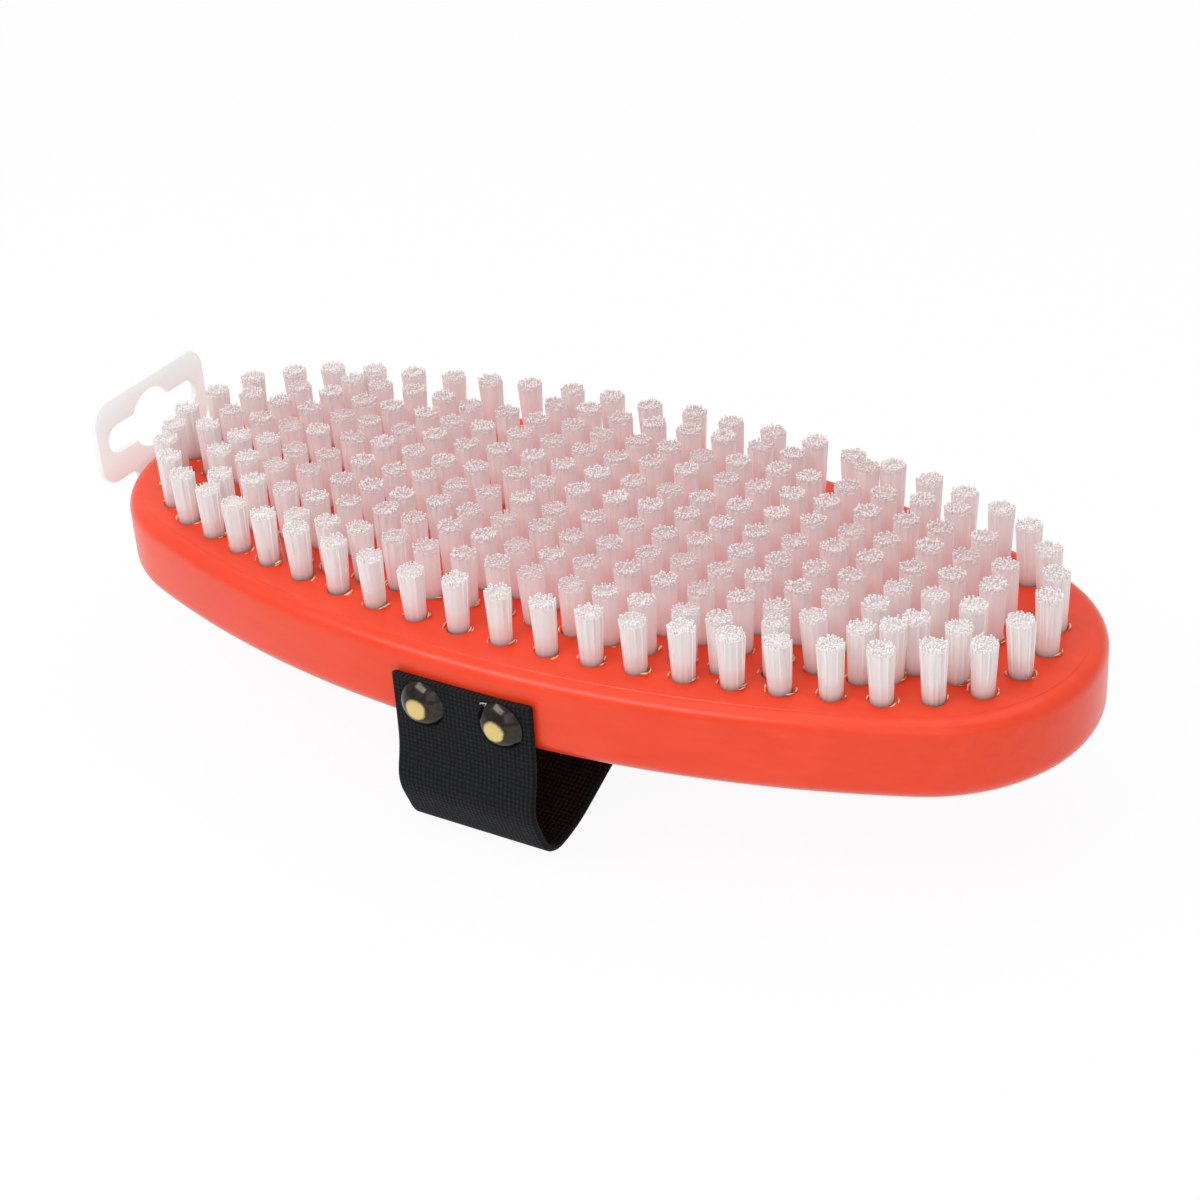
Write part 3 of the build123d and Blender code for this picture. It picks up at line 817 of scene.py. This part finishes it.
# section: across and through, one face and edge, then both again half a turn round
section = []
for n in range(strap["columns"] + 1):
    section.append((-halfWide + strap["edge"]
                    + (strap["width"] - 2 * strap["edge"]) * n / strap["columns"], halfThick))
rolled, thin = halfWide - strap["edgeRoll"], halfThick * strap["edgeShare"]
section += [(rolled, thin), (halfWide, 0), (rolled, -thin)]
section += [(-across, -through) for across, through in section]
sideArcRadius = blockArcs[1][2]
rows = []
run = 0.0
for n, point in enumerate(path):
    before = path[max(n - 1, 0)]
    after = path[min(n + 1, len(path) - 1)]
    along = (after - before).normalized()
    outwardSide = Vector((along.y, -along.x))   # away from the block on the near side
    if n:
        run += (point - path[n - 1]).length
    line = []
    for across, through in section:
        x = strap["middleX"] + across
        spot = point + outwardSide * through
        # the nailed ends lie on the block's curved side
        hug = max(0.0, min(1.0, (point.y - strap["hugFrom"]) / strap["hugRise"]))
        bow = max(0.0, x * x / (2 * sideArcRadius) - strap["bowSlack"]) * hug
        y = spot.x - math.copysign(bow, spot.x)
        line.append((work.verts.new((x * mm, y * mm, spot.y * mm)), across, run))
    rows.append(line)
size = len(section)
quads = [[lineA[k], lineA[(k + 1) % size], lineB[(k + 1) % size], lineB[k]]
         for lineA, lineB in zip(rows, rows[1:]) for k in range(size)]
for points in quads + [rows[0], rows[-1]]:
    made = work.faces.new([point[0] for point in points])
    for loop, (_, across, along) in zip(made.loops, points):
        loop[uvLayer].uv = (across, along)
strapMesh = finishMesh(work, "handStrap", strap["creaseAngle"])
handStrap = newPiece("handStrap", strapMesh, webbing)
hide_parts("strap")
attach(handStrap, "brush")
print("strap made:", len(strapMesh.polygons), "faces")

# Lint: curls of pale yarn caught at the near nail heads, and two hairs by a near tuft
lint = {
    "sides": 5,
    "creaseAngle": 60,
    "curls": [
        # radius, then the points that it runs through
        (0.14, [(6.9, -48.5, 9.3), (6.6, -48.8, 9.8), (6.8, -49.0, 10.2), (7.4, -49.1, 10.4),
                (8.0, -48.9, 10.4), (8.5, -48.7, 10.7)]),
        (0.1, [(7.2, -48.6, 9.5), (7.6, -49.1, 9.7), (8.0, -49.1, 10.1), (7.9, -48.8, 10.5)]),
        (0.08, [(-10.3, -48.5, 8.4), (-9.9, -48.8, 9.1), (-9.3, -48.9, 9.5), (-8.9, -48.7, 10.1)]),
        (0.09, [(-49.9, -30.6, 16.4), (-50.1, -30.6, 18.3), (-50.4, -30.6, 20.8),
                (-51.0, -30.5, 23.8)]),
        (0.07, [(-49.6, -30.8, 16.4), (-49.9, -30.9, 18.2), (-50.6, -30.9, 20.2)]),
    ],
}
lintAside = Vector((0.2, 0.9, 0.1))     # a direction that no curl runs along
work = bmesh.new()
for radius, points in lint["curls"]:
    points = [Vector(point) for point in points]
    rings = []
    for n, point in enumerate(points):
        ahead = (points[min(n + 1, len(points) - 1)] - points[max(n - 1, 0)]).normalized()
        side = ahead.cross(lintAside).normalized()
        over = ahead.cross(side)
        rings.append([work.verts.new((point + radius * (
            side * math.cos(2 * math.pi * k / lint["sides"])
            + over * math.sin(2 * math.pi * k / lint["sides"]))) * mm)
            for k in range(lint["sides"])])
    for low, high in zip(rings, rings[1:]):
        for k in range(lint["sides"]):
            nextK = (k + 1) % lint["sides"]
            work.faces.new([low[k], low[nextK], high[nextK], high[k]])
    work.faces.new(rings[0])
    work.faces.new(rings[-1])
lintMesh = finishMesh(work, "lintFibres", lint["creaseAngle"])
lintFibres = newPiece("lintFibres", lintMesh, cottonYarn)
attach(lintFibres, "brush")
print("lint made:", len(lintMesh.polygons), "faces")

# Hang tab
tab = {
    "thickness": 1.2,
    "width": 35.0,
    "height": 18.3,
    "corner": 4.5,
    "cornerSteps": 10,
    "middleY": -2.0,
    "slotLength": 28.7,
    "slotHeight": 6.2,
    "slotSteps": 12,          # round each end
    "eye": 12.9,
    "eyeSteps": 16,
    "neckWidth": 13.5,
    "neckLength": 1.1,
    "foldDrop": 3.0,
    "footLength": 8.5,
    "footGap": 0.3,           # between the crease and the foot
    "offBlock": 0.02,
    "fillet": 2.2,            # inner corners where the neck meets the head
    "filletSteps": 6,
    "edge": 0.14,             # softened die-cut edge
    "creaseCuts": 5,          # on each side of the crease
    "cutStep": 0.25,
    "creaseAngle": 30,
}
foldZ = block["thickness"] - tab["foldDrop"]
headZ = foldZ + tab["neckLength"] + tab["height"] / 2
tabX = -(block["halfLength"] + tab["offBlock"] + tab["thickness"] / 2)
footZ = foldZ - tab["thickness"] / 2 - tab["footGap"] - tab["footLength"]


def arcPoints(cy, cz, radius, startDegrees, endDegrees, count):
    turns = [math.radians(startDegrees + (endDegrees - startDegrees) * n / count)
             for n in range(count + 1)]
    return [(cy + radius * math.cos(turn), cz + radius * math.sin(turn)) for turn in turns]


def tabOutline():
    # counterclockwise from the foot's lower left corner, y to the right and z up
    y0, half, top = tab["middleY"], tab["width"] / 2, headZ + tab["height"] / 2
    low, neck, r, f = headZ - tab["height"] / 2, tab["neckWidth"] / 2, tab["corner"], tab["fillet"]
    outer, inner = tab["cornerSteps"], tab["filletSteps"]
    line = [(y0 - neck, footZ), (y0 + neck, footZ)]
    line += arcPoints(y0 + neck + f, low - f, f, 180, 90, inner)
    line += arcPoints(y0 + half - r, low + r, r, -90, 0, outer)
    line += arcPoints(y0 + half - r, top - r, r, 0, 90, outer)
    line += arcPoints(y0 - half + r, top - r, r, 90, 180, outer)
    line += arcPoints(y0 - half + r, low + r, r, 180, 270, outer)
    line += arcPoints(y0 - neck - f, low - f, f, 90, 0, inner)
    return line


def slotOutline():
    # round-ended slot with the round eye standing proud of it above and below
    y0, r, eye = tab["middleY"], tab["slotHeight"] / 2, tab["eye"] / 2
    reach = tab["slotLength"] / 2 - r
    meet = math.degrees(math.asin(r / eye))
    line = arcPoints(y0 + reach, headZ, r, -90, 90, tab["slotSteps"])
    line += arcPoints(y0, headZ, eye, meet, 180 - meet, tab["eyeSteps"])
    line += arcPoints(y0 - reach, headZ, r, 90, 270, tab["slotSteps"])
    line += arcPoints(y0, headZ, eye, 180 + meet, 360 - meet, tab["eyeSteps"])
    return line


work = bmesh.new()
for outlinePoints in (tabOutline(), slotOutline()):
    ring = [work.verts.new(((tabX - tab["thickness"] / 2) * mm, y * mm, z * mm))
            for y, z in outlinePoints]
    for n in range(len(ring)):
        work.edges.new((ring[n], ring[(n + 1) % len(ring)]))
bmesh.ops.triangle_fill(work, edges=work.edges[:], use_beauty=True, normal=(1, 0, 0))
bmesh.ops.dissolve_limit(work, angle_limit=0.01, verts=work.verts[:], edges=work.edges[:])
made = bmesh.ops.extrude_face_region(work, geom=work.faces[:])
moved = [item for item in made["geom"] if isinstance(item, bmesh.types.BMVert)]
bmesh.ops.translate(work, verts=moved, vec=(tab["thickness"] * mm, 0, 0))
bmesh.ops.recalc_face_normals(work, faces=work.faces)
# the rims: sharp edges, over a radian, that don't run through the sheet
rims = [edge for edge in work.edges if edge.calc_face_angle(0) > 1.0
        and abs((edge.verts[0].co - edge.verts[1].co).x) < 1e-7]
bmesh.ops.bevel(work, geom=rims, offset=tab["edge"] * mm, segments=2, profile=0.5,
                affect="EDGES", clamp_overlap=True)
for step in range(-tab["creaseCuts"], tab["creaseCuts"] + 1):
    # cuts across the neck, close together about the crease
    geometry = work.verts[:] + work.edges[:] + work.faces[:]
    bmesh.ops.bisect_plane(work, geom=geometry, dist=1e-7, plane_no=(0, 0, 1),
                           plane_co=(0, 0, (foldZ + step * tab["cutStep"]) * mm))
bmesh.ops.triangulate(work, faces=[f for f in work.faces if len(f.verts) > 4])
tabMesh = finishMesh(work, "hangTabSheet", tab["creaseAngle"])
hangTabSheet = newPiece("hangTabSheet", tabMesh, milkySheet)
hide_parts("hang_tab", "hang_tab_foot")
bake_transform(hangTabSheet)
print("hang tab made:", len(tabMesh.polygons), "faces")

# CAD pieces that stay
finishes = {"tuft_anchors": drawnSteel, "tab_staple": drawnSteel}
for side in ("near_left", "near_right", "far_left", "far_right"):
    finishes["nail_cap_" + side] = antiquedBrass
    finishes["nail_shank_" + side] = drawnSteel
for name, material in finishes.items():
    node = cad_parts[name]
    node.data.materials.clear()
    node.data.materials.append(material)
print("CAD pieces finished:", len(finishes))

# Floor, world and lamps
studio = {
    "floorZ": -23.6,          # just under the strap's lowest point
    "floorReach": 3.0,        # metres each way
    "floorShow": 0.94,        # share of the plain white that the camera sees in the floor
    "world": 0.62,
    # place and size in metres, power in watts; each is aimed at the block's middle
    "softboxes": {
        "keySoftbox": ((-0.27, -0.5, 0.68), (0.7, 0.27), 2.7),
        "topSoftbox": ((0.1, 0.1, 0.8), (0.8, 0.8), 1.7),
        "fillSoftbox": ((0.5, -0.75, 0.5), (0.6, 0.6), 0.8),
    },
}
white = (1, 1, 1, 1)
floorMesh = bpy.data.meshes.new("studioFloor")
floorMesh.from_pydata(
    [(x * studio["floorReach"], y * studio["floorReach"], studio["floorZ"] * mm)
     for x, y in ((-1, -1), (1, -1), (1, 1), (-1, 1))], [], [(0, 1, 2, 3)])
floorPaper = bpy.data.materials.new("floorPaper")
floorPaper.use_nodes = True
floorPaper.node_tree.nodes.clear()
add = partial(addNode, floorPaper.node_tree)
rays = add("ShaderNodeLightPath").outputs
seen = add("ShaderNodeMath", {0: rays["Is Camera Ray"], 1: rays["Is Glossy Ray"]})
seen = add("ShaderNodeMath", {0: seen, 1: rays["Is Transmission Ray"]}, use_clamp=True)
share = add("ShaderNodeMath", {0: seen, 1: studio["floorShow"]}, operation="MULTIPLY")
paper = add("ShaderNodeBsdfDiffuse", {"Color": hexColor("#F4F4F4")})
plain = add("ShaderNodeEmission", {"Color": white, "Strength": 1.0})
mixed = add("ShaderNodeMixShader", {0: share, 1: paper, 2: plain})
add("ShaderNodeOutputMaterial", {"Surface": mixed})
studioFloor = newPiece("studioFloor", floorMesh, floorPaper)

world = bpy.data.worlds.new("studioWorld")
bpy.context.scene.world = world
world.use_nodes = True
world.node_tree.nodes.clear()
add = partial(addNode, world.node_tree)
rays = add("ShaderNodeLightPath").outputs
soft = add("ShaderNodeBackground", {"Color": white, "Strength": studio["world"]})
plain = add("ShaderNodeBackground", {"Color": white, "Strength": 1.0})
mixed = add("ShaderNodeMixShader", {0: rays["Is Camera Ray"], 1: soft, 2: plain})
add("ShaderNodeOutputWorld", {"Surface": mixed})

for name, (place, size, power) in studio["softboxes"].items():
    data = bpy.data.lights.new(name, "AREA")
    data.shape = "RECTANGLE"
    data.size, data.size_y = size
    data.energy = power
    lamp = bpy.data.objects.new(name, data)
    bpy.context.scene.collection.objects.link(lamp)
    lamp.location = place
    lamp.rotation_euler = (-Vector(place)).to_track_quat("-Z", "Y").to_euler()
bpy.context.scene.view_settings.view_transform = "Standard"
print("studio set")
